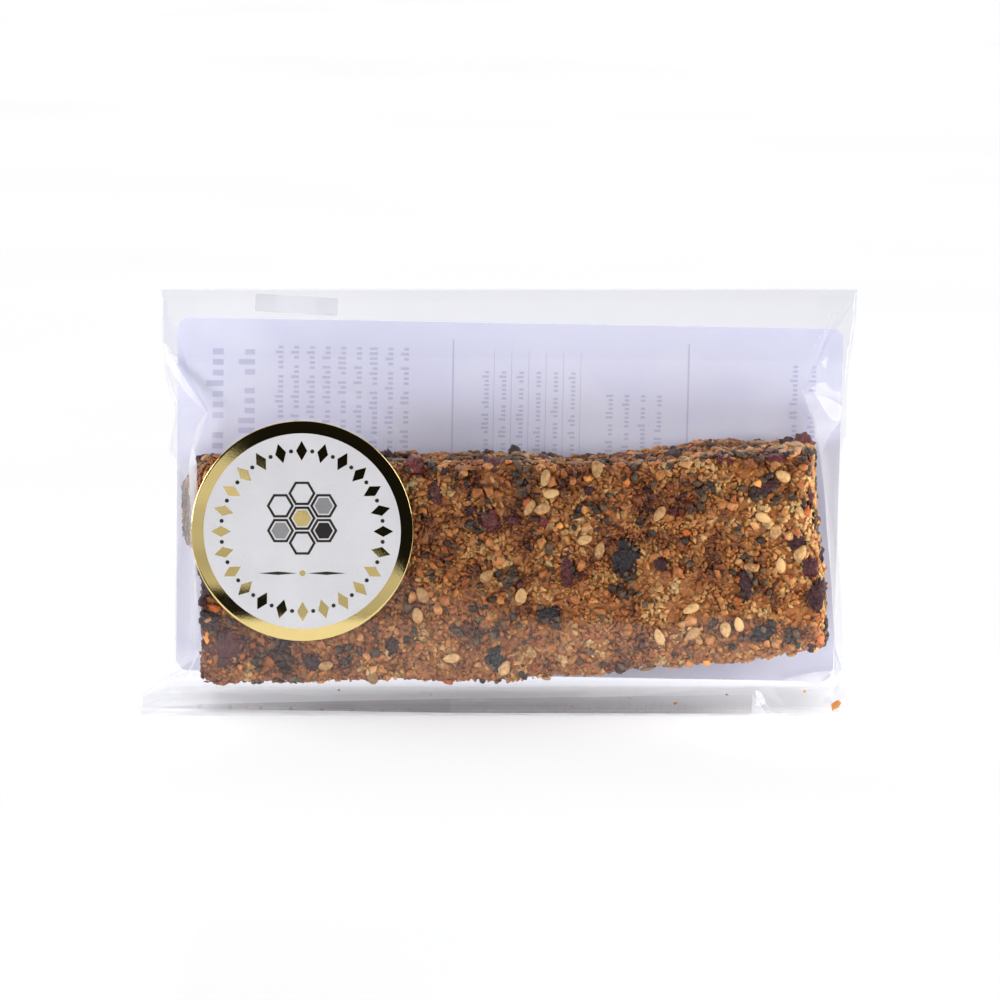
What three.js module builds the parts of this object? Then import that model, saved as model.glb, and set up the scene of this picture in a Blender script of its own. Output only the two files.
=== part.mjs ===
// A granola bar sealed in a clear film bag, standing on the bag's folded base.
// Millimetres: +X runs along the bar to its right end, -Y is the front, +Z is up.
// The origin is on the floor, in the middle of the pack's box.
import * as THREE from 'three';

// The bag is a side-gusset film bag. It is flat at the top, where it is folded over to the back,
// and opened out by the bar lower down.
const BAG = {
  top: 75.0,          // height of the folded top edge
  back: 12.4,         // the back film is flat, held by the label
  foldDepth: 1.0,     // thickness of the folded top edge
  flapDrop: 13.2,     // the folded-over flap reaches this far down the back
  flapRelief: 0.3,    // the flap stands proud of the back film
  frontFoot: -12.3,   // the front film meets the floor here
  lean: 0.035,        // the front film leans back this much per millimetre of height
  seamHeight: 1.6,    // the rolled seam along the foot of the front
  seamBulge: 0.93,
  pocketDip: 0.7,     // the film sinks in between the seam and the bar's lower edge
  backRound: 1.0,     // rounding of the lower back edge
};

// The bar inside fills the front film from its lower edge to its upper edge.
const BAR = { left: -54.0, right: 58.5, leftBottom: 5.4, rightBottom: 11.5, shoulder: 46.9 };

const STICKER = { radius: 20.0, x: -35.6, z: 33.8, thickness: 0.15, sides: 96 };
const LABEL = { width: 122.8, height: 66.4, x: 1.4, z: 35.3, corner: 2.2, thickness: 0.2, turn: 0.018 };
const TAB = { width: 15.2, height: 3.3, x: -37.5, z: 71.9, thickness: 0.15, turn: 0.06 };
const GAP = 0.3;      // clear space between touching pieces

// How finely the film is divided: along the front, through the depth, and up between the creases
const GRID = { across: 36, side: 6, rowStep: 2.7 };

// Heights where the film is creased. The flap's lower edge is one of them, as a step.
const FLAP_EDGE = BAG.top - BAG.flapDrop;
const CREASES = [
  0, 0.4, 0.8, 1.2, BAG.seamHeight, 4.0, 5.2, 8.7, 10.8, 14.6, 41.8, 44.7, BAR.shoulder, 48.3, 50.7,
  53.7, 56.5, 59.3, FLAP_EDGE, FLAP_EDGE + 0.5, 66.2, 69.0, 73.0, BAG.top,
];

// A line of straight stretches through [height, value] pairs, read at any height
function profile(points) {
  return (height) => {
    const upper = points.findIndex(([h]) => h >= height);
    if (upper === 0) return points[0][1];
    if (upper === -1) return points[points.length - 1][1];
    const [h0, v0] = points[upper - 1];
    const [h1, v1] = points[upper];
    return v0 + (v1 - v0) * (height - h0) / (h1 - h0);
  };
}

// The front's left and right ridges. Each starts at the ear of the bottom seam, climbs beside the
// bar's end, and breaks outward along the gusset crease to join the side fold below the top.
const ridgeLeft = profile([
  [0, -64.4], [0.8, -65.3], [2.2, -65.8], [4.0, -65.5], [5.2, -64.2], [10.8, -54.2], [14.6, -54.9],
  [48.3, -54.9], [53.9, -52.5], [66.2, -61.9], [75, -62.2],
]);
const ridgeRight = profile([
  [0, 63.2], [4.4, 63.4], [8.7, 62.0], [12.1, 60.6], [28.5, 59.4], [47.5, 57.6],
  [53.5, 56.2], [57.5, 54.9], [67.6, 61.2], [73, 65.5], [75, 65.8],
]);

// The side folds at the back, in at the waist and out at the top and the foot
const foldLeft = profile([
  [0, -61.6], [2.4, -61.8], [6, -61.0], [20, -60.5], [28, -60.0], [41.8, -59.8], [44.7, -61.4],
  [50.7, -60.2], [53.7, -60.2], [56.5, -61.3], [59.3, -62.0], [75, -62.2],
]);
const foldRight = profile([
  [0, 63.4], [3, 64.2], [12, 63.9], [30, 62.8], [44.7, 63.1], [46.9, 64.1], [56.5, 64.2],
  [62, 64.6], [69, 65.8], [75, 65.8],
]);

// How far the side panels are pushed in between ridge and fold
const gussetDent = profile([
  [0, 2.2], [4.4, 2.4], [14, 0.6], [44, 0.5], [54, 2.4], [66, 3.0], [73, 0.6], [75, -0.2],
]);

// Zero below its edge and straight above it, with a bend as wide as the given radius
const bend = (distance, radius) => (distance + Math.hypot(distance, radius)) / 2;

const frontPlane = (z) => BAG.frontFoot + BAG.lean * z;

const barBottom = (x) => {
  const along = THREE.MathUtils.clamp((x - BAR.left) / (BAR.right - BAR.left), 0, 1);
  return THREE.MathUtils.lerp(BAR.leftBottom, BAR.rightBottom, along * along);
};

// Height where the front film leaves its plane: the bar's upper edge, or the sticker's rim where
// that stands higher, because the sticker holds the film flat
function shoulder(x) {
  const held = STICKER.radius + 1.5;
  const aside = x - STICKER.x;
  if (Math.abs(aside) >= held) return BAR.shoulder;
  return Math.max(BAR.shoulder, STICKER.z + Math.sqrt(held * held - aside * aside));
}

// Depth of the front film: seam, pocket under the bar, plane over the bar, slope to the top fold
function frontDepth(x, z) {
  const plane = frontPlane(z);
  if (z < BAG.seamHeight) return plane - BAG.seamBulge * Math.sin(Math.PI * z / BAG.seamHeight);
  const edge = barBottom(x);
  if (z < edge) {
    const up = (z - BAG.seamHeight) / (edge - BAG.seamHeight);
    return plane + BAG.pocketDip * Math.sin(Math.PI * up);
  }
  const start = shoulder(x);
  const rise = BAG.back - BAG.foldDepth - frontPlane(start);
  const slope = rise / (BAG.top - start);
  const depth = plane + slope * bend(z - start, 1.6);
  return Math.min(depth, BAG.back - BAG.foldDepth);
}

// Depth of the back film, with the flap standing proud at the top and a rounded foot
function backDepth(z) {
  if (z < BAG.backRound) return BAG.back - (BAG.backRound - z);
  return z > FLAP_EDGE ? BAG.back + BAG.flapRelief : BAG.back;
}

// One level of the bag: front from left to right, right side, back, left side
function ringAt(z) {
  const corners = {
    frontLeft: [ridgeLeft(z), frontDepth(ridgeLeft(z), z)],
    frontRight: [ridgeRight(z), frontDepth(ridgeRight(z), z)],
    backRight: [foldRight(z), backDepth(z)],
    backLeft: [foldLeft(z), backDepth(z)],
  };
  const ring = [];
  for (let i = 0; i < GRID.across; i += 1) {
    const x = THREE.MathUtils.lerp(corners.frontLeft[0], corners.frontRight[0], i / GRID.across);
    ring.push(new THREE.Vector3(x, frontDepth(x, z), z));
  }
  for (let i = 0; i < GRID.side; i += 1) {
    ring.push(sidePoint(corners.frontRight, corners.backRight, i, -1, z));
  }
  for (let i = 0; i < GRID.across; i += 1) {
    const x = THREE.MathUtils.lerp(corners.backRight[0], corners.backLeft[0], i / GRID.across);
    ring.push(new THREE.Vector3(x, backDepth(z), z));
  }
  for (let i = 0; i < GRID.side; i += 1) {
    ring.push(sidePoint(corners.frontLeft, corners.backLeft, GRID.side - i, 1, z));
  }
  return ring;
}

// A point of a side panel, counted from the front, dented towards the middle of the bag
function sidePoint(front, back, step, inward, z) {
  const along = step / GRID.side;
  const dent = inward * gussetDent(z) * Math.sin(Math.PI * along);
  const x = THREE.MathUtils.lerp(front[0], back[0], along) + dent;
  return new THREE.Vector3(x, THREE.MathUtils.lerp(front[1], back[1], along), z);
}

// Heights of the levels: every crease, with even steps between creases
function levels() {
  const heights = [];
  for (let i = 0; i + 1 < CREASES.length; i += 1) {
    const steps = Math.ceil((CREASES[i + 1] - CREASES[i]) / GRID.rowStep);
    for (let k = 0; k < steps; k += 1) {
      heights.push(THREE.MathUtils.lerp(CREASES[i], CREASES[i + 1], k / steps));
    }
  }
  heights.push(BAG.top);
  return heights;
}

// A grid of points that fills a ring from edge to edge, with the ring as its border
function capGrid(ring) {
  const { across, side } = GRID;
  const front = (i) => ring[i];
  const right = (k) => ring[across + k];
  const back = (i) => ring[2 * across + side - i];
  const left = (k) => ring[(2 * (across + side) - k) % ring.length];
  const grid = [];
  for (let k = 0; k <= side; k += 1) {
    for (let i = 0; i <= across; i += 1) {
      const u = i / across;
      const v = k / side;
      const point = new THREE.Vector3()
        .addScaledVector(front(i), 1 - v).addScaledVector(back(i), v)
        .addScaledVector(left(k), 1 - u).addScaledVector(right(k), u)
        .addScaledVector(ring[0], -(1 - u) * (1 - v)).addScaledVector(ring[across], -u * (1 - v))
        .addScaledVector(right(side), -u * v).addScaledVector(back(0), -(1 - u) * v);
      grid.push(point);
    }
  }
  return grid;
}

function bagGeometry() {
  const rings = levels().map(ringAt);
  const count = rings[0].length;
  const positions = [];
  const triangle = (a, b, c) => positions.push(...a.toArray(), ...b.toArray(), ...c.toArray());
  const quad = (a, b, c, d) => {
    triangle(a, b, c);
    triangle(a, c, d);
  };
  for (let j = 0; j + 1 < rings.length; j += 1) {
    for (let i = 0; i < count; i += 1) {
      const next = (i + 1) % count;
      quad(rings[j][i], rings[j][next], rings[j + 1][next], rings[j + 1][i]);
    }
  }
  for (const [ring, up] of [[rings[0], false], [rings[rings.length - 1], true]]) {
    const grid = capGrid(ring);
    const row = GRID.across + 1;
    for (let k = 0; k < GRID.side; k += 1) {
      for (let i = 0; i < GRID.across; i += 1) {
        const corners = [k * row + i, k * row + i + 1, (k + 1) * row + i + 1, (k + 1) * row + i];
        if (!up) corners.reverse();
        quad(...corners.map((index) => grid[index]));
      }
    }
  }
  const geometry = new THREE.BufferGeometry();
  geometry.setAttribute('position', new THREE.Float32BufferAttribute(positions, 3));
  geometry.computeVertexNormals();
  return geometry;
}

function clearBag() {
  const film = new THREE.MeshStandardMaterial({ color: 0xe8eaf2, roughness: 0.08, metalness: 0 });
  const mesh = new THREE.Mesh(bagGeometry(), film);
  mesh.name = 'bag';
  return mesh;
}

// A round paper sticker with a foil rim, flat on the front film over the bar's left end
function frontSticker() {
  const { radius, thickness, sides } = STICKER;
  const geometry = new THREE.CylinderGeometry(radius, radius, thickness, sides);
  const paper = new THREE.MeshStandardMaterial({ color: 0xe3dee4, roughness: 0.45, metalness: 0 });
  const mesh = new THREE.Mesh(geometry, paper);
  mesh.name = 'sticker';
  const off = GAP + STICKER.thickness / 2;
  mesh.position.set(STICKER.x, frontPlane(STICKER.z) - off, STICKER.z);
  mesh.rotation.x = -Math.atan(BAG.lean);
  return mesh;
}

// A sheet with rounded corners that lies flat against the back, a little turned
function backSheet(name, size, corner, material) {
  const halfWidth = size.width / 2;
  const halfHeight = size.height / 2;
  const shape = new THREE.Shape();
  shape.moveTo(corner - halfWidth, -halfHeight);
  shape.lineTo(halfWidth - corner, -halfHeight);
  shape.absarc(halfWidth - corner, corner - halfHeight, corner, -Math.PI / 2, 0);
  shape.lineTo(halfWidth, halfHeight - corner);
  shape.absarc(halfWidth - corner, halfHeight - corner, corner, 0, Math.PI / 2);
  shape.lineTo(corner - halfWidth, halfHeight);
  shape.absarc(corner - halfWidth, halfHeight - corner, corner, Math.PI / 2, Math.PI);
  shape.lineTo(-halfWidth, corner - halfHeight);
  shape.absarc(corner - halfWidth, corner - halfHeight, corner, Math.PI, 1.5 * Math.PI);
  const geometry = new THREE.ExtrudeGeometry(shape, {
    depth: size.thickness, bevelEnabled: false, curveSegments: 6,
  });
  const mesh = new THREE.Mesh(geometry, material);
  mesh.name = name;
  const inner = BAG.back + BAG.flapRelief + GAP;
  mesh.position.set(size.x, inner + size.thickness, size.z);
  mesh.rotation.set(Math.PI / 2, size.turn, 0, 'YXZ');
  return mesh;
}

const pack = new THREE.Group();
pack.add(clearBag());
pack.add(frontSticker());
pack.add(backSheet('back_label', LABEL, LABEL.corner, new THREE.MeshStandardMaterial({
  color: 0xd6d6ea, roughness: 0.6, metalness: 0,
})));
pack.add(backSheet('tape_tab', TAB, 0.4, new THREE.MeshStandardMaterial({
  color: 0xe4e5ea, roughness: 0.15, metalness: 0,
})));

export default pack;
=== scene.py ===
import itertools
import math
import random
import bmesh
import bpy
import numpy as np
from mathutils import Matrix, Vector, noise
from mathutils.bvhtree import BVHTree


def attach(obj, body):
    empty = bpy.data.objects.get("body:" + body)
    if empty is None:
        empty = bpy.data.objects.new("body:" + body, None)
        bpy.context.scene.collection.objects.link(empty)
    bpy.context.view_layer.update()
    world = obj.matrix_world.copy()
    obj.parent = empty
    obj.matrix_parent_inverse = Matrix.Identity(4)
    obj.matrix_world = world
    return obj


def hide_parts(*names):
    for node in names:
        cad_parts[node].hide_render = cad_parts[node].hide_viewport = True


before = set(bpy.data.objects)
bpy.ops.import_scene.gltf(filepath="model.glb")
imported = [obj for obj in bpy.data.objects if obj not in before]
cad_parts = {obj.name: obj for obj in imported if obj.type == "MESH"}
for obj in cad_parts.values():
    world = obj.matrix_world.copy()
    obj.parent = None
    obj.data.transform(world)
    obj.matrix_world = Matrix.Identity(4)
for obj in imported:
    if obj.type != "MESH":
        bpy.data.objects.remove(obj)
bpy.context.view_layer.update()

# ------------------------------ the baked slab
# A slab of ground oats, puffed grain and honey syrup, pressed in a tray, baked and cut while warm.
# Its cut faces are rough and its edges crumble. It leans back with the front film, sits higher in
# the bag at its right end, and both its ends run out a little towards the back.
MM = 0.001
SLAB_LEFT = -54.3
SLAB_RIGHT = 58.6
SLAB_FRONT = -11.25       # at floor level, before the lean
SLAB_DEPTH = 20.0
FRONT_REACH = -8.5        # what lies further forward than this belongs to the slab's front
LEAN = 0.035              # the front leans back this much for each millimetre of height
SLAB_VOXEL = 0.45
LEFT_BULGE = 6.4          # the left end runs out this far at its back, at mid height
RIGHT_BULGE = 2.4
RIGHT_SLANT = 3.1         # the top of the right end is this much shorter than its foot
GRANULE = 1.3             # the crumb between the chips shows as granules of about this size
GRANULE_RELIEF = 0.6
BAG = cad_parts["bag"]
FILM_CLEAR = 0.12 * MM    # the contents stay this far inside the film
bag_form = bmesh.new()
bag_form.from_mesh(BAG.data)
BAG_WALL = BVHTree.FromBMesh(bag_form)
bag_form.free()


def share(value, low, high):
    """How far a value has come from low to high, from 0 to 1, eased at both ends."""
    t = min(1.0, max(0.0, (value - low) / (high - low)))
    return t * t * (3 - 2 * t)


def slab_bottom(x):
    """Height of the slab's lower edge: level over the left half, climbing to the right."""
    run = min(1.0, max(0.0, (x - SLAB_LEFT) / (SLAB_RIGHT - SLAB_LEFT)))
    return 5.2 + 6.4 * run ** 3


def slab_top(x, back):
    """Height of the upper face: it dips to the back, except near the right end."""
    front_edge = 46.0 + 1.5 * share(x, 22, 52)
    back_edge = 44.6 + 2.9 * share(x, 16, 40)
    return front_edge + (back_edge - front_edge) * back


def press_inside(point, clear=FILM_CLEAR):
    """The point itself, or where it would stand through the film, one just inside the film."""
    spot, normal, _, _ = BAG_WALL.find_nearest(point)
    depth = (Vector(point) - spot).dot(normal)
    return spot - normal * clear if depth > -clear else point


def lumps(point, size, seed):
    """Smooth bumps from -1 to 1, about size millimetres across."""
    return noise.noise(Vector(point) / size + Vector((seed, 2 * seed, 3 * seed)))


def granule(point):
    """The crumb granule at a point: how far its skin stands out, and a tone of its own from 0 to 1."""
    near, middles = noise.voronoi(point / GRANULE)
    return 0.55 - near[0], 0.5 + 0.5 * noise.cell(middles[0])


DARK_PATCHES = [
    # x, z, half width, half height of each place where dark seeds and crumb gather on the front
    (4.5, 43.0, 2.6, 3.8), (-2.9, 34.6, 2.6, 3.4), (-14.6, 45.0, 3.6, 2.0), (2.6, 24.8, 1.8, 2.2),
    (9.0, 18.3, 2.9, 2.0), (23.1, 22.9, 2.0, 3.5), (36.3, 41.1, 2.2, 1.4), (49.0, 41.1, 4.0, 2.8),
    (45.9, 25.8, 2.6, 3.4), (46.4, 15.4, 2.8, 2.4), (-0.5, 10.2, 1.8, 2.4), (-3.7, 15.1, 4.4, 2.6),
    (-16.5, 16.7, 1.8, 3.6), (53.2, 14.3, 2.4, 1.8), (14.8, 11.8, 1.3, 1.0), (26.5, 34.4, 1.3, 2.1),
    (16.4, 38.2, 2.9, 1.5), (-27.5, 10.8, 2.6, 2.2), (-42.6, 9.6, 2.2, 2.0),
]


def gathered_dark(point):
    """How much a place belongs to a dark patch, from 0 to 1. Off the front they lie at random."""
    if point.y > FRONT_REACH:
        return share(lumps(point, 5.5, 11), 0.22, 0.42)
    ragged = 0.5 * lumps(point, 2.5, 31)
    nearest = min(math.hypot((point.x - x) / half_width, (point.z - z) / half_height)
                  for x, z, half_width, half_height in DARK_PATCHES)
    return 1 - share(nearest + ragged, 0.6, 1.3)


def mass_tone_and_painted_light(point):
    """The tone that chips and crumb near a place have in common, so dark and light mass apart. It
    also holds painted light on the right end and painted shade on the back of the left end, and it
    is darker towards the lower left of the front.
    """
    drift = 0.36 * lumps(point, 3.4, 21) + 0.32 * lumps(point, 8.5, 5)
    # the right end is lighter, a painted light; the back of the left end is darker, a painted shade;
    # and the lower left of the front is darker
    return (0.25 + drift + 0.17 * share(point.x, 47, 55) - 0.24 * gathered_dark(point)
            - 0.25 * share(-point.x, 52, 55) * share(point.y, -8, -4)
            - 0.20 * share(-point.x, 24, 46) * share(-point.z, -28, -16))


def set_down(name, form):
    """Puts a finished form into the scene as a piece of that name."""
    mesh = bpy.data.meshes.new(name)
    form.to_mesh(mesh)
    form.free()
    piece = bpy.data.objects.new(name, mesh)
    bpy.context.scene.collection.objects.link(piece)
    return piece


def apply_modifiers(piece):
    graph = bpy.context.evaluated_depsgraph_get()
    piece.data = bpy.data.meshes.new_from_object(piece.evaluated_get(graph))
    piece.modifiers.clear()


def smooth(piece):
    for polygon in piece.data.polygons:
        polygon.use_smooth = True


def complete(piece, slot_name, *materials):
    for material in materials:
        piece.data.materials.append(material)
    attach(piece, "root")
    return piece


def even_block(half):
    """A block of that half size at the origin, its faces cut into small even squares."""
    form = bmesh.new()
    bmesh.ops.create_cube(form, size=2.0)
    bmesh.ops.scale(form, vec=half, verts=form.verts)
    piece = set_down("slab", form)
    remesh = piece.modifiers.new("even", "REMESH")
    remesh.mode = "VOXEL"
    remesh.voxel_size = SLAB_VOXEL
    apply_modifiers(piece)
    return piece


def shape_slab(piece, half):
    """Bends the block to the slab: rounded, leaning, higher at its right end, its ends run out."""
    form = bmesh.new()
    form.from_mesh(piece.data)
    for vert in form.verts:
        # the crumbled edges have a corner radius that wanders
        radius = 1.6 + 0.8 * lumps(vert.co, 9, 4)
        inner = Vector([math.copysign(min(abs(c), h - radius), c) for c, h in zip(vert.co, half)])
        out = vert.co - inner
        if out.length > radius:
            vert.co = inner + out.normalized() * radius
        x = vert.co.x + (SLAB_LEFT + SLAB_RIGHT) / 2
        back = 0.5 + vert.co.y / SLAB_DEPTH
        up = 0.5 + vert.co.z / (2 * half.z)
        z = slab_bottom(x) + (slab_top(x, back) - slab_bottom(x)) * up
        at_mid_height = share(z, 23, 31) * (1 - share(z, 38, 46.5))
        x -= LEFT_BULGE * back * at_mid_height * share(-x, 40, 54)
        x += (RIGHT_BULGE * back - RIGHT_SLANT * up) * share(x, 44, SLAB_RIGHT)
        vert.co = Vector((x, SLAB_FRONT + LEAN * z + SLAB_DEPTH * back, z))
    form.normal_update()
    roughen(form)
    form.to_mesh(piece.data)
    form.free()


def roughen(form):
    """Swells, dents and crumb granules, which also give each place its tone, with the painted light
    and shade of its mass. Ends in metres.
    """
    tone = form.verts.layers.float.new("tone")
    for vert in form.verts:
        flat = share(-vert.normal.y, 0.5, 0.9)
        swell = 0.9 * lumps(vert.co, 13, 1) * (1 - 0.8 * flat)
        swell += 0.4 * lumps(vert.co, 3.2, 2) - 0.7
        stands_out, own_tone = granule(vert.co)
        vert[tone] = 0.5 * own_tone + mass_tone_and_painted_light(vert.co)
        vert.co += vert.normal * (swell + GRANULE_RELIEF * stands_out)
        vert.co = press_inside(vert.co * MM, 0.3 * MM)


def colour(red, green, blue):
    """A colour given as it looks on a screen, 0 to 255, as the shader's linear values."""
    values = []
    for value in (red, green, blue):
        value /= 255
        values.append(value / 12.92 if value <= 0.04045 else ((value + 0.055) / 1.055) ** 2.4)
    return (*values, 1.0)


def new_material(name):
    material = bpy.data.materials.new(name)
    material.use_nodes = True
    tree = material.node_tree
    return material, tree, tree.nodes["Principled BSDF"]


def feed(tree, node, inputs):
    """Sets a node's inputs to values, or links those whose value is another node's output."""
    for name, value in inputs.items():
        if isinstance(value, bpy.types.NodeSocket):
            tree.links.new(value, node.inputs[name])
        else:
            node.inputs[name].default_value = value


def add(tree, kind, inputs=None, **settings):
    """A new node, with its settings and inputs."""
    node = tree.nodes.new(kind)
    for name, value in settings.items():
        setattr(node, name, value)
    feed(tree, node, inputs or {})
    return node


def place_in(tree):
    """Where on the piece a point is, in metres."""
    return add(tree, "ShaderNodeTexCoord").outputs["Object"]


def noise_in(tree, scale, detail=2.0, place=None):
    """Soft noise over a piece, from 0 to 1. The scale is how many of its waves fit in a metre."""
    return add(tree, "ShaderNodeTexNoise", {
        "Vector": place or place_in(tree), "Scale": scale, "Detail": detail}).outputs["Fac"]


def bump_in(tree, height, strength, depth):
    """A fine relief in the skin, up to depth millimetres deep."""
    return add(tree, "ShaderNodeBump", {
        "Height": height, "Strength": strength, "Distance": depth * MM}).outputs["Normal"]


def tone_in(tree):
    """The tone that the points of a mesh carry."""
    return add(tree, "ShaderNodeAttribute", attribute_name="tone").outputs["Fac"]


def multiply_add(tree, value, factor, addend, use_clamp=False):
    return add(tree, "ShaderNodeMath", {0: value, 1: factor, 2: addend},
               operation="MULTIPLY_ADD", use_clamp=use_clamp).outputs[0]


def ramp(tree, factor, *stops):
    """Colours or greys along a factor, each stop given as (position, colour)."""
    node = add(tree, "ShaderNodeValToRGB", {"Fac": factor})
    elements = node.color_ramp.elements
    while len(elements) < len(stops):
        elements.new(0.5)
    for element, (position, value) in zip(elements, stops):
        element.position = position
        element.color = value
    return node.outputs["Color"]


def shades(tree, factor, *stops):
    """A ramp whose stops are (position, red, green, blue), as the colours look on a screen."""
    return ramp(tree, factor, *[(position, colour(*rgb)) for position, *rgb in stops])


def baked_grain():
    """Node group for everything baked or dried: a mottled colour and a pitted skin."""
    group = bpy.data.node_groups.new("baked_grain", "ShaderNodeTree")
    face = group.interface
    for name in ("Mottle Size", "Pit Size", "Pit Depth"):
        face.new_socket(name, in_out="INPUT", socket_type="NodeSocketFloat")
    face.new_socket("Mottle", in_out="OUTPUT", socket_type="NodeSocketFloat")
    face.new_socket("Normal", in_out="OUTPUT", socket_type="NodeSocketVector")
    entry = group.nodes.new("NodeGroupInput")
    leave = group.nodes.new("NodeGroupOutput")
    place = place_in(group)
    mottle = add(group, "ShaderNodeTexNoise", {
        "Vector": place, "Scale": entry.outputs["Mottle Size"], "Detail": 3.0, "Roughness": 0.6})
    pits = add(group, "ShaderNodeTexNoise", {
        "Vector": place, "Scale": entry.outputs["Pit Size"], "Detail": 2.0, "Roughness": 0.65})
    bump = bump_in(group, pits.outputs["Fac"], entry.outputs["Pit Depth"], 0.4)
    group.links.new(mottle.outputs["Fac"], leave.inputs["Mottle"])
    group.links.new(bump, leave.inputs["Normal"])
    return group


GRAIN = baked_grain()
BAKED_GLOW = (1.0, 0.5, 0.2)     # light goes further into baked oats and fruit as red than as blue


def grain_in(tree, mottle_size, pit_size, pit_depth):
    """The grain with a material's own values. The sizes are waves per metre."""
    return add(tree, "ShaderNodeGroup", {
        "Mottle Size": mottle_size, "Pit Size": pit_size, "Pit Depth": pit_depth}, node_tree=GRAIN)


def syrup_material():
    """Crumb and syrup between the chips: each granule with its tone, and finer grains in it."""
    material, tree, skin = new_material("baked_syrup")
    grain = grain_in(tree, 420.0, 1500.0, 0.4)
    cells = add(tree, "ShaderNodeTexVoronoi", {"Vector": place_in(tree), "Scale": 1250.0})
    fine = add(tree, "ShaderNodeSeparateColor", {"Color": cells.outputs["Color"]}).outputs["Red"]
    finer = multiply_add(tree, fine, 0.35, grain.outputs["Mottle"])
    mixed = multiply_add(tree, tone_in(tree), 0.7, finer)
    sunk = add(tree, "ShaderNodeBump", {
        "Height": cells.outputs["Distance"], "Strength": 0.3, "Distance": 0.4 * MM,
        "Normal": grain.outputs["Normal"]}, invert=True)
    feed(tree, skin, {
        "Base Color": shades(
            tree, mixed, (0.50, 24, 11, 6), (0.78, 78, 39, 15), (1.0, 138, 85, 38)),
        "Normal": sunk.outputs["Normal"], "Roughness": 0.4, "Subsurface Weight": 0.3,
        "Subsurface Radius": BAKED_GLOW, "Subsurface Scale": 1.2 * MM})
    return material


slab_half = Vector(((SLAB_RIGHT - SLAB_LEFT) / 2, SLAB_DEPTH / 2, 20.0))
slab = even_block(slab_half)
shape_slab(slab, slab_half)
smooth(slab)
complete(slab, "granola", syrup_material())
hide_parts("bag")

# ------------------------------ chips of the mix
# What the slab's faces show is its mix: crushed oats, puffed rice and nut, each chip glazed with
# syrup, from deep amber to straw. They lie at all angles, and the front film presses them flat.
rng = random.Random(41)


def chip_shapes(count, corners, size):
    """Angular chips: the hull of a few points on an uneven ball, flattened to size."""
    shapes = []
    for _ in range(count):
        form = bmesh.new()
        for _ in range(corners):
            point = Vector((rng.gauss(0, 1), rng.gauss(0, 1), rng.gauss(0, 1))).normalized()
            point *= rng.uniform(0.75, 1.0)
            bmesh.ops.create_vert(form, co=point)
        bmesh.ops.convex_hull(form, input=form.verts[:])
        inside = [vert for vert in form.verts if not vert.link_faces]
        bmesh.ops.delete(form, geom=inside, context="VERTS")
        bmesh.ops.scale(form, vec=size, verts=form.verts)
        bmesh.ops.recalc_face_normals(form, faces=form.faces)
        shapes.append(form)
    return shapes


def as_arrays(form):
    form.verts.index_update()
    points = np.array([vert.co for vert in form.verts])
    faces = [[vert.index for vert in face.verts] for face in form.faces]
    form.free()
    return points, faces


def scatter(name, shapes, places, slot_name, material):
    """One mesh of many small things. Each place is a matrix, the shape to put there and a tone."""
    arrays = [as_arrays(shape) for shape in shapes]
    points, faces, tones = [], [], []
    start = 0
    for matrix, kind, tone in places:
        shape_points, shape_faces = arrays[kind]
        turned = shape_points @ np.array(matrix.to_3x3()).T + np.array(matrix.translation)
        points.append(turned)
        faces.extend([[start + index for index in face] for face in shape_faces])
        tones.append(np.full(len(turned), tone))
        start += len(turned)
    points = np.array([press_inside(point) for point in np.concatenate(points)])
    mesh = bpy.data.meshes.new(name)
    mesh.from_pydata(points.tolist(), [], faces)
    mesh.attributes.new("tone", "FLOAT", "POINT").data.foreach_set(
        "value", np.concatenate(tones).astype(np.float32))
    piece = bpy.data.objects.new(name, mesh)
    bpy.context.scene.collection.objects.link(piece)
    return complete(piece, slot_name, material)


def slab_outline():
    """The slab before its granules: its faces lead the scatter, so nothing tips into a pit."""
    form = bmesh.new()
    form.from_mesh(slab.data)
    for _ in range(6):
        bmesh.ops.smooth_vert(form, verts=form.verts, factor=0.5, use_axis_x=True, use_axis_y=True,
                              use_axis_z=True)
    form.normal_update()
    bmesh.ops.triangulate(form, faces=form.faces)
    return form


outline = slab_outline()
SLAB_SKIN = BVHTree.FromBMesh(outline)
SKIN_FACES = [([vert.co.copy() for vert in face.verts], face.normal.copy())
              for face in outline.faces]
SKIN_REACH = list(itertools.accumulate(face.calc_area() for face in outline.faces))
outline.free()


def on_front(x, z):
    """The point of the slab's front face at that place, with its normal."""
    spot, normal, _, _ = SLAB_SKIN.find_nearest(Vector((x, SLAB_FRONT + LEAN * z, z)) * MM)
    return spot, normal


def surface_spots(count, keep):
    """Points and normals spread evenly over the slab, thinned by what keep() says of each."""
    spots = []
    for corners, normal in rng.choices(SKIN_FACES, cum_weights=SKIN_REACH, k=count):
        a, b, c = corners
        u, v = sorted((rng.random(), rng.random()))
        point = a * u + b * (v - u) + c * (1 - v)
        if rng.random() < keep(point / MM, normal):
            spots.append((point, normal))
    return spots


def onto(point, normal, lift):
    """Moves a thing drawn at the origin onto the slab, its Z along the normal there."""
    upright = normal.to_track_quat("Z", "Y").to_matrix().to_4x4()
    return Matrix.Translation(point + normal * lift * MM) @ upright


def lying(point, normal, size, lift, tip):
    """A place on the slab: flat on its face, turned at random, tipped by up to tip radians."""
    spin = Matrix.Rotation(rng.uniform(0, 2 * math.pi), 4, "Z")
    tilt = Matrix.Rotation(rng.uniform(-tip, tip), 4, Vector((rng.gauss(0, 1), rng.gauss(0, 1), 0)))
    return onto(point, normal, lift) @ tilt @ spin @ Matrix.Scale(size * MM, 4)


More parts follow.
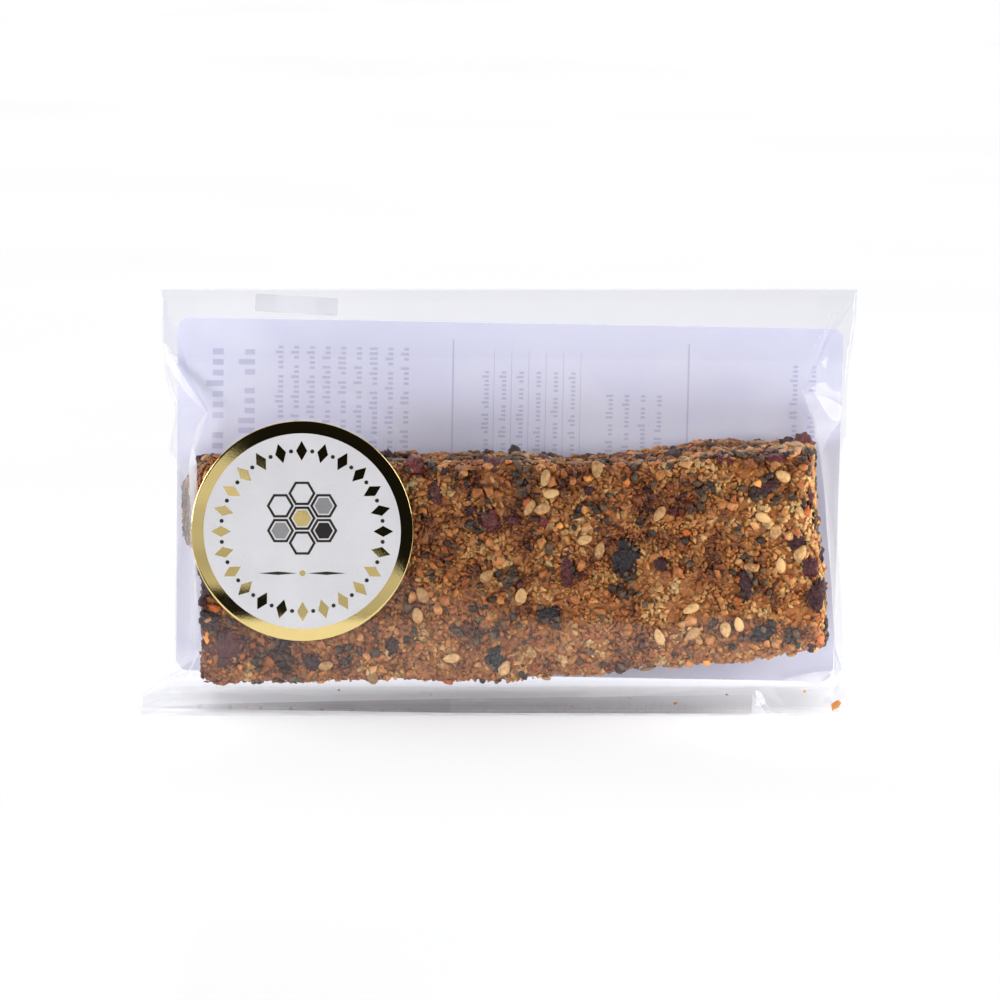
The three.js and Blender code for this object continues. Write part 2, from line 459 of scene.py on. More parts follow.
def laid(point, normal, turn, size, lift):
    """A place for one thing of a given size in millimetres, its length turned from level."""
    spin = Matrix.Rotation(math.radians(turn), 4, "Z")
    scale = Matrix.Diagonal((*(length * MM for length in size), 1))
    return onto(point, normal, lift) @ spin @ scale


def shown(normal):
    """The back and the base lie against the label and the bag's foot, so they need fewer."""
    return 0.4 if normal.y > 0.6 or normal.z < -0.6 else 1.0


def mix_material(name, grain, shares, roughness, stops, glow=0.0):
    """A kind in the mix. Shares of its mottle and of its points' tone choose the colour. Its grain
    is given as mottle size, pit size and pit depth."""
    material, tree, skin = new_material(name)
    baked = grain_in(tree, *grain)
    mottle = add(tree, "ShaderNodeMath", {0: baked.outputs["Mottle"], 1: shares[0]},
                 operation="MULTIPLY")
    mixed = multiply_add(tree, tone_in(tree), shares[1], mottle.outputs[0])
    feed(tree, skin, {
        "Base Color": shades(tree, mixed, *stops), "Normal": baked.outputs["Normal"],
        "Roughness": roughness, "Subsurface Weight": glow, "Subsurface Radius": BAKED_GLOW,
        "Subsurface Scale": 1.9 * MM})
    return material


def chip_material(name, roughness, stops):
    return mix_material(name, (1100.0, 3000.0, 0.08), (0.36, 1.0), roughness, stops, glow=0.7)


AMBER = [(0.18, 32, 14, 8), (0.36, 79, 36, 14), (0.56, 131, 72, 30), (0.78, 166, 107, 55),
         (1.00, 198, 149, 98)]


def patchy(point):
    """The tone of one chip, from 0 to 0.9: the tone of its place, painted light and shade included,
    give or take its own.
    """
    return min(0.9, max(0.0, 0.24 + mass_tone_and_painted_light(Vector(point) / MM) + rng.gauss(0, 0.08)))


# each place draws its size, its lift off the slab, how it lies, its kind and its tone
oat_places = [
    (lying(p, n, rng.uniform(0.8, 1.6) * (1.6 if rng.random() < 0.08 else 1),
           rng.uniform(0.0, 0.45), 0.5), rng.randrange(12), patchy(p))
    for p, n in surface_spots(18200, lambda p, n: shown(n) * (1 - 0.55 * gathered_dark(p)))
]
oat_chips = scatter("oat_chips", chip_shapes(12, 10, (0.70, 0.56, 0.33)), oat_places, "granola",
                    chip_material("glazed_oat", 0.46, AMBER))

bit_places = [
    (lying(p, n, rng.uniform(0.7, 1.4), rng.uniform(0.2, 0.55), 1.2), rng.randrange(8),
     patchy(p))
    for p, n in surface_spots(11000, lambda p, n: shown(n) * (0.6 + 0.4 * (lumps(p, 7, 8) > 0)))
]
oat_bits = scatter("oat_bits", chip_shapes(8, 7, (0.38, 0.32, 0.28)), bit_places, "granola",
                   chip_material("glazed_bits", 0.48, AMBER))

FLAKES = [
    # x, z, width, height
    (40.1, 38.3, 2.7, 2.2), (29.9, 29.5, 2.0, 2.2), (-0.7, 30.4, 1.5, 2.6), (7.5, 31.4, 1.9, 2.7),
    (-6.3, 45.0, 2.4, 1.8), (-2.3, 45.2, 2.8, 1.9), (-10.2, 45.6, 3.0, 1.6), (17.6, 46.2, 2.6, 1.6),
    (21.6, 46.6, 2.8, 1.7), (27.6, 46.8, 3.2, 1.5), (33.0, 47.0, 3.0, 1.4), (-15.5, 44.8, 2.2, 1.5),
    (13.0, 42.5, 2.0, 3.0), (-22.0, 10.5, 2.8, 1.8), (-25.4, 14.0, 1.8, 2.6), (3.0, 9.4, 2.6, 1.4),
]
flake_places = [
    (laid(*on_front(x, z), rng.uniform(-12, 12), (width / 2, height / 2, 1.0), 0.6),
     rng.randrange(5), rng.uniform(0.5, 0.75))
    for x, z, width, height in FLAKES
]
# the flakes that face up are paler, partly as oats on the top are and partly as a painted highlight of
# the light from above
flake_places += [
    (lying(p, n, rng.uniform(0.9, 1.5), 0.6, 0.5), rng.randrange(5),
     rng.uniform(0.35, 0.7) + 0.2 * (n.z > 0.5))
    for p, n in surface_spots(600, lambda p, n: shown(n) * (0.2 + 0.8 * (n.z > 0.5)))
]
oat_flakes = scatter("oat_flakes", chip_shapes(5, 16, (1.0, 1.0, 0.4)), flake_places, "granola",
                     chip_material("rolled_oat", 0.4, AMBER))

# ------------------------------ sesame seeds
# Whole hulled sesame, 3.3 mm long, a drop shape with a pointed end, cream coloured and satin.
# They were stirred into the mix. Most lie flat, and half sunk, so the syrup dulls some of them.


def seed_shapes(count, size, point_end, around):
    """Smooth seeds: a ball stretched to size, narrowed towards one end."""
    shapes = []
    for _ in range(count):
        form = bmesh.new()
        bmesh.ops.create_uvsphere(form, u_segments=around, v_segments=around // 2 + 1, radius=1.0)
        stretch = Vector([s * rng.uniform(0.9, 1.1) for s in size])
        for vert in form.verts:
            narrow = 1 - point_end * (0.5 + 0.5 * vert.co.x) ** 2
            length, width, thickness = vert.co
            vert.co = Vector((length * stretch.x, width * narrow * stretch.y,
                              thickness * narrow * stretch.z))
        shapes.append(form)
    return shapes


SESAME = [
    # x, z, the way the pointed end lies in degrees from level, tone
    (9.4, 40.4, 8, 0.9), (8.1, 43.2, 255, 0.55), (5.3, 37.8, 240, 0.5), (7.6, 37.7, 200, 0.5),
    (28.7, 36.7, 235, 0.5), (47.5, 36.0, 335, 0.95), (50.7, 27.4, 95, 0.8), (54.2, 29.6, 60, 0.5),
    (49.6, 33.4, 250, 0.45), (34.5, 19.4, 205, 0.7), (43.2, 16.6, 105, 1.0), (40.8, 15.6, 280, 0.6),
    (34.8, 14.8, 220, 0.5), (28.8, 14.3, 110, 0.75), (15.3, 32.0, 20, 0.7), (3.8, 21.8, 80, 0.6),
    (18.0, 30.2, 75, 0.35), (-2.4, 25.5, 40, 0.3), (-8.8, 10.4, 190, 0.7), (-14.0, 22.0, 120, 0.35),
    (-14.9, 18.2, 100, 0.5), (50.9, 43.6, 150, 0.7), (0.8, 8.6, 60, 0.6), (-31.5, 9.0, 15, 0.3),
]
sesame_places = [
    (laid(*on_front(x, z), turn, (1.0, 1.0, 1.0), rng.uniform(0.5, 0.85)), rng.randrange(4), tone)
    for x, z, turn, tone in SESAME
]
sesame_places += [
    (lying(p, n, rng.uniform(0.85, 1.05), rng.uniform(0.4, 0.8), 0.4), rng.randrange(4),
     rng.uniform(0, 0.8) ** 1.5)
    for p, n in surface_spots(170, lambda p, n: (0.1 if n.y < -0.6 else 0.8) * shown(n))
]


def seed_material(name, roughness, dark, middle, light):
    return mix_material(name, (1500.0, 5000.0, 0.2), (1.0, 0.6), roughness,
                        [(0.3, *dark), (0.65, *middle), (1.0, *light)])


sesame = scatter("sesame_seeds", seed_shapes(4, (1.6, 1.1, 0.45), 0.38, 12), sesame_places, "seeds",
                 seed_material("sesame_coat", 0.44, (100, 66, 33), (140, 101, 57), (192, 153, 100)))

# ------------------------------ dark seeds
# Small grey-black seeds, just over a millimetre, mottled and dry. They cling together in patches,
# stuck on by the syrup, between the chips and clear of the sesame.
SESAME_ROOM = 1.9         # from the middle of a sesame seed to the nearest dark one


def clear_of_sesame(point):
    """Whether a place on the front is clear of the sesame seeds that lie there."""
    return point.y > FRONT_REACH or all(
        math.hypot(point.x - x, point.z - z) > SESAME_ROOM for x, z, *_ in SESAME)


dark_places = [
    (lying(p, n, rng.uniform(0.65, 1.5), rng.uniform(0.2, 0.7), 0.8), rng.randrange(6),
     rng.uniform(0, 1) ** 1.6)
    for p, n in surface_spots(12500, lambda p, n: shown(n) * max(0.055, 0.7 * gathered_dark(p))
                              * clear_of_sesame(p))
]
dark_seeds = scatter("dark_seeds", seed_shapes(6, (0.66, 0.5, 0.42), 0.3, 8), dark_places, "seeds",
                     seed_material("dark_seed_coat", 0.46, (23, 14, 9), (48, 34, 23), (86, 66, 43)))

# ------------------------------ dried berries
# Soft dried berries, cut and crumpled, deep red where light comes through and almost black inside.
# Raisins are the larger, blacker ones. Both are moist, so they shine, and sit deep in the mix.


def crumpled_shapes(count, fineness):
    """Wrinkled fruit: a ball pulled in along random folds."""
    shapes = []
    for number in range(count):
        form = bmesh.new()
        bmesh.ops.create_icosphere(form, subdivisions=fineness, radius=1.0)
        shift = Vector((7.0 * number, 3.0 * fineness, 5.0 * number))
        for vert in form.verts:
            fold = abs(noise.noise(vert.co * 1.7 + shift))
            fine = abs(noise.noise(vert.co * 4.0 - shift))
            vert.co *= 0.66 + 0.75 * fold + 0.45 * fine
        shapes.append(form)
    return shapes


BERRIES = [
    # x, z, width, height
    (-49.4, 12.2, 7.0, 6.6), (-52.6, 17.4, 3.6, 3.2), (-53.2, 23.5, 2.2, 4.6), (-33.8, 9.6, 3.2, 3.0),
    (-11.6, 40.8, 2.2, 4.6), (12.2, 26.6, 2.6, 6.2), (-1.8, 35.4, 3.6, 4.0), (2.4, 35.6, 2.4, 2.2),
    (-5.2, 37.4, 2.0, 2.2), (47.0, 41.4, 5.4, 3.6), (53.5, 31.8, 3.8, 3.3), (29.1, 27.6, 2.7, 2.6),
    (44.4, 23.6, 2.4, 5.8), (56.0, 26.8, 2.6, 4.2), (57.2, 21.6, 3.4, 4.4), (31.4, 37.0, 1.8, 1.5),
    (-10.0, 44.6, 1.6, 1.6), (16.0, 41.0, 2.0, 1.8), (26.6, 40.8, 1.4, 1.2), (-19.5, 12.4, 2.6, 3.0),
    (56.5, 12.0, 1.8, 1.6), (22.0, 7.0, 2.0, 1.6), (58.2, 21.8, 3.0, 6.0), (58.6, 39.4, 1.8, 3.8),
    (40.5, 46.6, 3.0, 1.4), (49.5, 47.4, 4.4, 1.8),
]
RAISINS = [
    (23.0, 28.6, 5.0, 6.4), (9.0, 18.5, 4.2, 2.6), (-0.5, 10.2, 3.2, 4.4), (47.6, 14.8, 3.6, 2.8),
]


def fruit_places(spots, kinds, thick, depth, low, high):
    """Places listed on the front. The bits are turned a little, with tones from low to high."""
    return [(laid(*on_front(x, z), rng.uniform(-15, 15), (width / 2, height / 2, thick), depth),
             rng.choice(kinds), rng.uniform(low, high))
            for x, z, width, height in spots]


berry_places = fruit_places(BERRIES, (0, 1, 2, 3), 0.75, 0.25, 0.0, 0.45)
berry_places += [
    (lying(p, n, rng.uniform(0.8, 2.0), rng.uniform(-0.1, 0.4), 0.5), rng.randrange(4, 8),
     rng.uniform(0.0, 0.6))
    for p, n in surface_spots(150, lambda p, n: (0.05 if n.y < -0.6 else 0.45) * (n.z > -0.3)
                              + 0.5 * (n.z > 0.6) + 0.55 * (n.x < -0.6))
]
raisin_places = fruit_places(RAISINS, (0, 1, 2, 3), 0.8, 0.35, 0.0, 0.3)


def fruit_material(name, dark, middle, light):
    return mix_material(name, (700.0, 2000.0, 0.9), (0.6, 1.0), 0.3,
                        [(0.25, *dark), (0.6, *middle), (0.95, *light)])


berries = scatter("dried_berries", crumpled_shapes(4, 4) + crumpled_shapes(4, 3), berry_places,
                  "fruit", fruit_material("berry_skin", (24, 6, 9), (56, 13, 16), (104, 30, 26)))
raisins = scatter("raisins", crumpled_shapes(4, 4), raisin_places, "fruit",
                  fruit_material("raisin_skin", (11, 7, 9), (26, 16, 19), (54, 34, 36)))

# ------------------------------ amber fruit
# Cut bits of apricot and date, amber and clear as toffee, pressed into the slab with the rest of
# the mix. Most show at its ends.
AMBER_BITS = [
    # x, z, width, height
    (-51.4, 19.6, 3.2, 2.2), (-49.0, 21.4, 2.4, 1.6), (-53.4, 14.2, 1.8, 3.4), (59.2, 13.9, 2.8, 2.4),
    (57.0, 12.0, 2.0, 1.4), (15.8, 43.2, 2.2, 1.6), (22.8, 42.6, 1.8, 2.4), (33.6, 33.2, 2.0, 1.8),
    (-53.0, 43.6, 1.6, 2.6), (55.6, 37.2, 1.8, 2.8), (10.8, 34.6, 2.0, 1.6), (37.4, 9.4, 2.4, 1.4),
]
amber_places = fruit_places(AMBER_BITS, range(4), 1.0, 0.5, 0.2, 0.7)
amber_places += [
    (lying(p, n, rng.uniform(0.7, 1.3), 0.5, 0.5), rng.randrange(4), rng.uniform(0.1, 0.7))
    for p, n in surface_spots(60, lambda p, n: shown(n) * (0.4 + 0.6 * (abs(n.x) > 0.6)))
]
amber_bits = scatter("amber_fruit", chip_shapes(4, 18, (1.0, 0.9, 0.6)), amber_places, "fruit",
                     fruit_material("apricot_flesh", (96, 34, 10), (186, 92, 28), (232, 160, 76)))
MIX = [oat_chips, oat_bits, oat_flakes, sesame, dark_seeds, berries, raisins, amber_bits]
for piece in MIX:
    smooth(piece)

# ------------------------------ clear bag
# A side-gusset bag of clear film, heat-sealed along its foot. The top is folded over to the back
# and held by the label. The film is creased where the bar pushes the gussets open.
FOLDS = [
    # from x, z to x, z on the front film, half width, how far the fold stands out
    ((-64.5, 2.6), (-47.0, 3.4), 1.1, 0.55),
    ((-63.5, 5.0), (-53.0, 5.6), 0.9, -0.5),
    ((-62.0, 1.6), (-30.0, 1.9), 0.7, -0.35),
    ((-56.0, 8.6), (-52.5, 3.0), 0.9, 0.5),
    ((-44.0, 4.8), (-30.0, 2.6), 1.2, -0.3),
    ((-18.0, 3.9), (4.0, 3.0), 1.2, 0.3),
    ((12.0, 2.4), (34.0, 4.2), 1.2, -0.35),
    ((45.6, 0.2), (46.2, 5.0), 1.0, 0.9),
    ((46.6, 5.0), (51.5, 0.4), 1.4, -0.6),
    ((51.0, 6.4), (60.5, 8.0), 1.2, 1.1),
    ((54.0, 4.4), (61.5, 5.2), 1.1, -0.6),
    ((59.0, 8.6), (63.0, 2.0), 1.0, 0.7),
    ((60.6, 6.5), (63.2, 0.6), 0.8, -0.5),
    ((57.0, 1.6), (63.0, 3.4), 0.8, 0.4),
]


def bevel_ridges(form):
    """Turns the sharp ridges beside the bar's ends into narrow facets, as a film fold has."""
    ridges = [edge for edge in form.edges
              if edge.is_manifold and edge.calc_face_angle() > math.radians(26)
              and all(abs(vert.co.x) > 50 * MM and vert.co.z > 10 * MM and vert.co.y < 12 * MM
                      for vert in edge.verts)]
    bmesh.ops.bevel(form, geom=ridges, offset=0.55 * MM, segments=1, affect="EDGES", profile=0.5,
                    material=-1, clamp_overlap=True)


def along_fold(x, z, start, end, half_width):
    """How much of a fold's height is felt at each point: a tent across it, easing at its ends."""
    run = np.array(end) - np.array(start)
    length = np.hypot(*run)
    run /= length
    ahead = (x - start[0]) * run[0] + (z - start[1]) * run[1]
    aside = (x - start[0]) * -run[1] + (z - start[1]) * run[0]
    ease = np.clip(np.minimum(ahead, length - ahead) / (0.25 * length) + 0.2, 0, 1)
    return np.clip(1 - np.abs(aside) / half_width, 0, 1) * ease


def film_mesh():
    """The bag's own form with its soft corners rounded, its ridges bevelled and its folds pressed."""
    form = bmesh.new()
    form.from_mesh(BAG.data)
    bmesh.ops.remove_doubles(form, verts=form.verts, dist=0.02 * MM)
    bmesh.ops.join_triangles(form, faces=form.faces, angle_face_threshold=math.radians(50),
                             angle_shape_threshold=math.radians(175))
    bmesh.ops.recalc_face_normals(form, faces=form.faces)
    bevel_ridges(form)
    crease = form.edges.layers.float.new("crease_edge")
    for edge in form.edges:
        if edge.is_manifold and edge.calc_face_angle() > math.radians(24):
            edge[crease] = 0.6
    piece = set_down("bag_film", form)
    finer = piece.modifiers.new("smooth", "SUBSURF")
    finer.levels = 2
    finer.render_levels = 2
    apply_modifiers(piece)
    wrinkle(piece.data)
    return piece


def wrinkle(mesh):
    """Folds of the front film, and a faint unevenness wherever nothing holds the film."""
    count = len(mesh.vertices)
    points = np.empty(3 * count)
    normals = np.empty(3 * count)
    mesh.vertices.foreach_get("co", points)
    mesh.vertices.foreach_get("normal", normals)
    points = points.reshape(-1, 3)
    normals = normals.reshape(-1, 3)
    x, y, z = (points / MM).T
    front = np.clip(-normals[:, 1] * 2, 0, 1) * (y < 11)
    move = np.zeros(count)
    for start, end, half_width, height in FOLDS:
        move += height * front * along_fold(x, z, start, end, half_width)
    side = (np.abs(normals[:, 0]) > 0.5) & (z > 1)
    for index in np.nonzero(side | (front > 0) & ((z > 49) | (z < 9)))[0]:
        slack = 0.10 if side[index] else 0.05
        move[index] += slack * noise.noise(Vector((x[index] / 5, y[index] / 5, z[index] / 7)))
    points += normals * (move * MM)[:, None]
    mesh.vertices.foreach_set("co", points.ravel())
    mesh.update()


def along(tree, axis, start, end, low=0.0, high=1.0):
    """A value that runs from low to high between two places on an axis, in millimetres."""
    parts = add(tree, "ShaderNodeSeparateXYZ", {0: place_in(tree)})
    return add(tree, "ShaderNodeMapRange", {
        "Value": parts.outputs[axis], "From Min": start * MM, "From Max": end * MM,
        "To Min": low, "To Max": high}).outputs[0]


DOUBLED_FILM = (0.93, 0.93, 0.955, 1)


def film_material(name, clearness, gloss_straight_on):
    """Clear film. At the foot of the bag the gussets double it, so there it takes more tint."""
    material, tree, skin = new_material(name)
    tree.nodes.remove(skin)
    tint = ramp(tree, along(tree, "Z", 0, 10), (0.5, DOUBLED_FILM), (0.66, clearness))
    bump = bump_in(tree, noise_in(tree, 45.0, 1.0), 0.1, 2.0)
    # straight on the film hardly shines, and only close to its outline does it mirror the room
    facing = add(tree, "ShaderNodeLayerWeight", {"Blend": 0.5, "Normal": bump})
    grazing = add(tree, "ShaderNodeMath", {0: facing.outputs["Facing"], 1: 10.0}, operation="POWER")
    edge = multiply_add(tree, grazing.outputs[0], 0.9, gloss_straight_on, use_clamp=True)
    clear = add(tree, "ShaderNodeBsdfTransparent", {"Color": tint})
    gloss = add(tree, "ShaderNodeBsdfGlossy", {
        "Color": (1, 1, 1, 1), "Roughness": 0.06, "Normal": bump})
    mix = add(tree, "ShaderNodeMixShader", {0: edge, 1: clear.outputs[0], 2: gloss.outputs[0]})
    tree.links.new(mix.outputs[0], tree.nodes["Material Output"].inputs["Surface"])
    return material


FILM = film_material("clear_film", (0.962, 0.963, 0.985, 1), 0.05)
film = film_mesh()
film.data.materials.clear()
smooth(film)
complete(film, "film", FILM)
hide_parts("bag")

# ------------------------------ folds and layers
# The mouth of the bag is folded down behind it, so the top has one more layer of film. The side
# gussets are folded in, with crisp facets of their own, and a weld closes the foot. The white on
# the folds is partly creased film and partly painted highlight, where the folds would mirror the
# lamps, and the weld's grey is partly the seal and partly painted shadow along the foot.
THIN_FILM = film_material("thin_film", (0.992, 0.992, 0.997, 1), 0.02)


def milky_film_and_highlight(name, clear_share):
    """Film that a sharp fold has turned a little white. The white is also a painted highlight, which
    stands in for the lamps that the fold mirrors.
    """
    material, tree, skin = new_material(name)
    feed(tree, skin, {
        "Base Color": shades(tree, noise_in(tree, 300.0), (0.3, 244, 244, 250), (0.7, 252, 252, 255)),
        "Roughness": 0.3, "Alpha": 1 - clear_share})
    return material


# these sheets are white partly because the fold creased the film and partly as painted highlight, put
# where the folds would catch the lamps
WHITE_FOLD_AND_HIGHLIGHT = milky_film_and_highlight("white_fold_and_highlight", 0.35)
SOFT_FOLD_AND_HIGHLIGHT = milky_film_and_highlight("soft_fold_and_highlight", 0.5)
FAINT_FOLD_AND_HIGHLIGHT = milky_film_and_highlight("faint_fold_and_highlight", 0.85)
LAYERS = {
    "folded_flap": (THIN_FILM, [
        (-61.9, 12.55, 62.6), (65.0, 12.55, 61.4), (65.7, 12.55, 73.6), (65.5, 12.55, 74.7),
        (-62.0, 12.55, 74.7)]),
    "gusset_left": (THIN_FILM, [
        (-61.4, 11.9, 57.0), (-57.6, 11.9, 56.2), (-55.7, 11.9, 62.0), (-55.9, 11.9, 73.8),
        (-61.8, 11.9, 73.8)]),
    "gusset_right": (THIN_FILM, [
        (63.4, 11.9, 57.0), (60.4, 11.9, 56.4), (58.6, 11.9, 62.0), (58.9, 11.9, 73.6),
        (65.2, 11.9, 73.6)]),
    "crease_left_highlight": (WHITE_FOLD_AND_HIGHLIGHT, [
        (-61.8, 12.1, 64.8), (-61.0, 11.6, 63.0), (-59.2, 10.6, 60.4), (-56.6, 9.1, 56.4),
        (-53.9, 7.5, 52.7), (-54.6, 7.7, 52.9), (-57.6, 9.2, 55.9), (-60.2, 10.8, 59.3),
        (-61.7, 11.8, 62.6)]),
    "crease_low_left_highlight": (SOFT_FOLD_AND_HIGHLIGHT, [
        (-53.9, 8.5, 52.6), (-54.2, 8.4, 51.1), (-55.4, 8.4, 48.1), (-56.5, 8.4, 45.5),
        (-56.9, 8.5, 46.3), (-56.2, 8.6, 48.7), (-55.2, 8.6, 51.1)]),
    "pleat_left_highlight": (WHITE_FOLD_AND_HIGHLIGHT, [
        (-55.3, -9.9, 49.5), (-54.5, -10.0, 46.0), (-54.5, -10.4, 36.0), (-54.6, -10.9, 24.0),
        (-54.4, -11.2, 14.6), (-54.7, -11.2, 14.6), (-55.2, -10.9, 24.0), (-55.6, -10.4, 36.0),
        (-56.0, -10.0, 45.0)]),
    "crease_right_highlight": (FAINT_FOLD_AND_HIGHLIGHT, [
        (61.2, 11.5, 71.0), (62.4, 11.5, 70.6), (57.8, 10.2, 59.6), (56.2, 9.6, 57.2)]),
    "facet_right_highlight": (SOFT_FOLD_AND_HIGHLIGHT, [
        (55.9, 9.5, 55.6), (57.8, 10.3, 55.7), (59.9, 11.0, 55.2), (62.4, 11.7, 53.8),
        (64.2, 11.9, 51.9), (62.7, 10.8, 50.4), (60.8, 9.4, 48.2), (59.3, 7.9, 45.2),
        (58.7, 8.3, 47.4), (57.6, 9.0, 51.4)]),
    "foot_lens_highlight": (WHITE_FOLD_AND_HIGHLIGHT, [
        (51.2, -11.2, 6.5), (54.4, -9.7, 7.0), (57.4, -8.3, 7.3), (60.4, -7.1, 7.2),
        (58.9, -8.1, 6.1), (57.8, -9.1, 4.7), (55.3, -9.8, 5.8)]),
    "foot_corner_highlight": (SOFT_FOLD_AND_HIGHLIGHT, [
        (61.4, -8.7, 7.4), (63.2, -7.8, 7.8), (62.9, -8.4, 6.4), (61.0, -9.7, 5.0),
        (59.6, -10.4, 4.7)]),
    "foot_triangle_highlight": (WHITE_FOLD_AND_HIGHLIGHT, [
        (45.8, -11.2, 4.0), (45.5, -12.6, 0.5), (48.4, -11.7, 0.15), (47.1, -11.5, 1.9)]),
    "foot_curve_highlight": (SOFT_FOLD_AND_HIGHLIGHT, [
        (46.6, -11.2, 4.6), (47.6, -11.4, 2.8), (49.3, -11.4, 0.9), (50.4, -11.2, 0.15),
        (49.1, -11.5, 0.75), (47.3, -11.6, 2.6)]),
    "ear_edge_highlight": (SOFT_FOLD_AND_HIGHLIGHT, [
        (-54.8, -11.3, 11.5), (-56.5, -11.8, 8.2), (-62.6, -12.3, 5.6), (-64.2, -12.4, 3.6),
        (-62.4, -12.3, 4.9), (-56.6, -11.9, 7.4), (-55.2, -11.5, 9.6)]),
}


def film_sheet(name, material, corners):
    """A thin flat layer of film inside the bag, given by its corners in millimetres."""
    form = bmesh.new()
    form.faces.new([form.verts.new(Vector(corner) * MM) for corner in corners])
    bmesh.ops.solidify(form, geom=form.faces[:], thickness=0.03 * MM)
    bmesh.ops.triangulate(form, faces=form.faces)
    bmesh.ops.recalc_face_normals(form, faces=form.faces)
    complete(set_down(name, form), "film", material)


# a place along the weld from its left end, 0, to its right end, 1, and how strong it is there;
# the strength follows a painted shadow too, strongest in the middle, under the slab
WELD_AND_SHADOW_STRENGTH = [(0.0, 0.2), (0.11, 0.32), (0.2, 0.64), (0.3, 0.93), (0.78, 1.0), (0.88, 0.9),
                 (0.965, 0.45), (1.0, 0.3)]


def weld_and_shadow_material():
    """Film that was melted together: greyish and streaky, densest at the foot, thin at both ends. Its
    grey is also a painted shadow where the foot meets the table.
    """
    material, tree, skin = new_material("welded_film_and_shadow")
    stretched = add(tree, "ShaderNodeMapping", {"Vector": place_in(tree), "Scale": (0.25, 1.0, 2.0)})
    streaks = noise_in(tree, 400.0, place=stretched.outputs[0])
    ends = ramp(tree, along(tree, "X", -63, 46),
                *[(place, (value, value, value, 1)) for place, value in WELD_AND_SHADOW_STRENGTH])
    weld_and_shadow = add(tree, "ShaderNodeMath", {0: along(tree, "Z", 0.6, 4.0, 0.6, 0.08), 1: ends},
                operation="MULTIPLY")
    feed(tree, skin, {
        "Base Color": shades(tree, streaks, (0.3, 86, 81, 88), (0.7, 118, 113, 120)),
        "Roughness": 0.3, "Alpha": weld_and_shadow.outputs[0]})
    return material


for layer_name, (layer_film, layer_corners) in LAYERS.items():
    film_sheet(layer_name, layer_film, layer_corners)
# the weld strip is partly the seal and partly painted shadow along the foot
film_sheet("foot_weld_and_shadow", weld_and_shadow_material(), [
    (-62.8, -12.0, 1.4), (-9.0, -12.35, 0.6), (46.0, -12.4, 0.4), (46.0, -11.2, 3.7),
    (-9.0, -11.4, 3.0), (-53.8, -11.7, 2.1)])

# ------------------------------ front sticker
# A round paper sticker, stuck flat on the front film, with a rim of mirror-gold foil. It is printed
# in foil and black ink with a ring of diamonds, a patch of honeycomb and a rule.
STICKER_X = -35.6
STICKER_Z = 33.8
STICKER_RADIUS = 20.0
RIM_INSIDE = 17.75
STICKER_BULGE = 0.02
FILM_FRONT = -12.3        # the front film at floor level, before the lean
STICKER_FRONT = -0.42     # off the plane of the film
STICKER_BACK = -0.27
PRINT_LIFT = 0.02
DIAMOND_RING = 14.6       # radius of the ring of diamonds and dots
DIAMONDS = 24
CELL_STEP = 4.5           # from one honeycomb cell to the next
PATCH_HEIGHT = 2.4        # the patch of cells sits this far above the middle, the rule below it
RULE_HEIGHT = -7.6


def settle_sticker(form):
    """Moves a sticker drawn flat at the origin to the film, which it makes bulge a little."""
    for vert in form.verts:
        x, y, z = vert.co
        bulge = STICKER_BULGE * (1 - (x * x + z * z) / STICKER_RADIUS ** 2)
        film_y = FILM_FRONT + LEAN * (z + STICKER_Z)
        vert.co = Vector((x + STICKER_X, y + film_y - bulge, z + STICKER_Z)) * MM


def foil_material():
    material, tree, skin = new_material("gold_foil")
    wave = noise_in(tree, 260.0)
    rough = add(tree, "ShaderNodeMapRange", {"Value": wave, "To Min": 0.02, "To Max": 0.045})
    feed(tree, skin, {
        "Base Color": shades(tree, wave, (0.3, 238, 213, 140), (0.7, 243, 220, 152)),
        "Normal": bump_in(tree, noise_in(tree, 5200.0), 0.04, 0.03),
        "Roughness": rough.outputs[0], "Metallic": 1.0})
    return material


def paper_material(name, light, dark, roughness):
    """Paper, or ink on it: fibres, and cloudiness as in paper held to the light."""
    material, tree, skin = new_material(name)
    fibre = noise_in(tree, 2600.0, 4.0)
    mixed = multiply_add(tree, fibre, 0.6, noise_in(tree, 120.0))
    feed(tree, skin, {"Base Color": shades(tree, mixed, (0.55, *dark), (1.0, *light)),
                      "Normal": bump_in(tree, fibre, 0.25, 0.1), "Roughness": roughness})
    return material


def blank_sticker():
    """Turned from its outline: flat back, rounded edge, and the foil rim flush with the paper."""
    form = bmesh.new()
    outline = [(0, STICKER_BACK), (19.9, STICKER_BACK), (STICKER_RADIUS, STICKER_BACK - 0.03),
               (STICKER_RADIUS, STICKER_FRONT + 0.06), (19.9, STICKER_FRONT + 0.01)]
    outline += [(radius, STICKER_FRONT) for radius in (
        19.8, 19.6, 19.2, 18.5, RIM_INSIDE, 16.5, 15, 13.5, 12, 10, 8, 6, 4, 2, 0)]
    verts = [form.verts.new((radius, y, 0)) for radius, y in outline]
    edges = [form.edges.new(pair) for pair in zip(verts, verts[1:])]
    bmesh.ops.spin(form, geom=verts + edges, cent=(0, 0, 0), axis=(0, 1, 0),
                   angle=2 * math.pi, steps=120, use_merge=True)
    bmesh.ops.remove_doubles(form, verts=form.verts, dist=0.001)
    bmesh.ops.recalc_face_normals(form, faces=form.faces)
    for face in form.faces:
        middle = face.calc_center_median()
        radius = math.hypot(middle.x, middle.z)
        face.material_index = int(radius > RIM_INSIDE and middle.y < STICKER_BACK - 0.02)
        face.smooth = True
    settle_sticker(form)
    return set_down("paper_sticker", form)


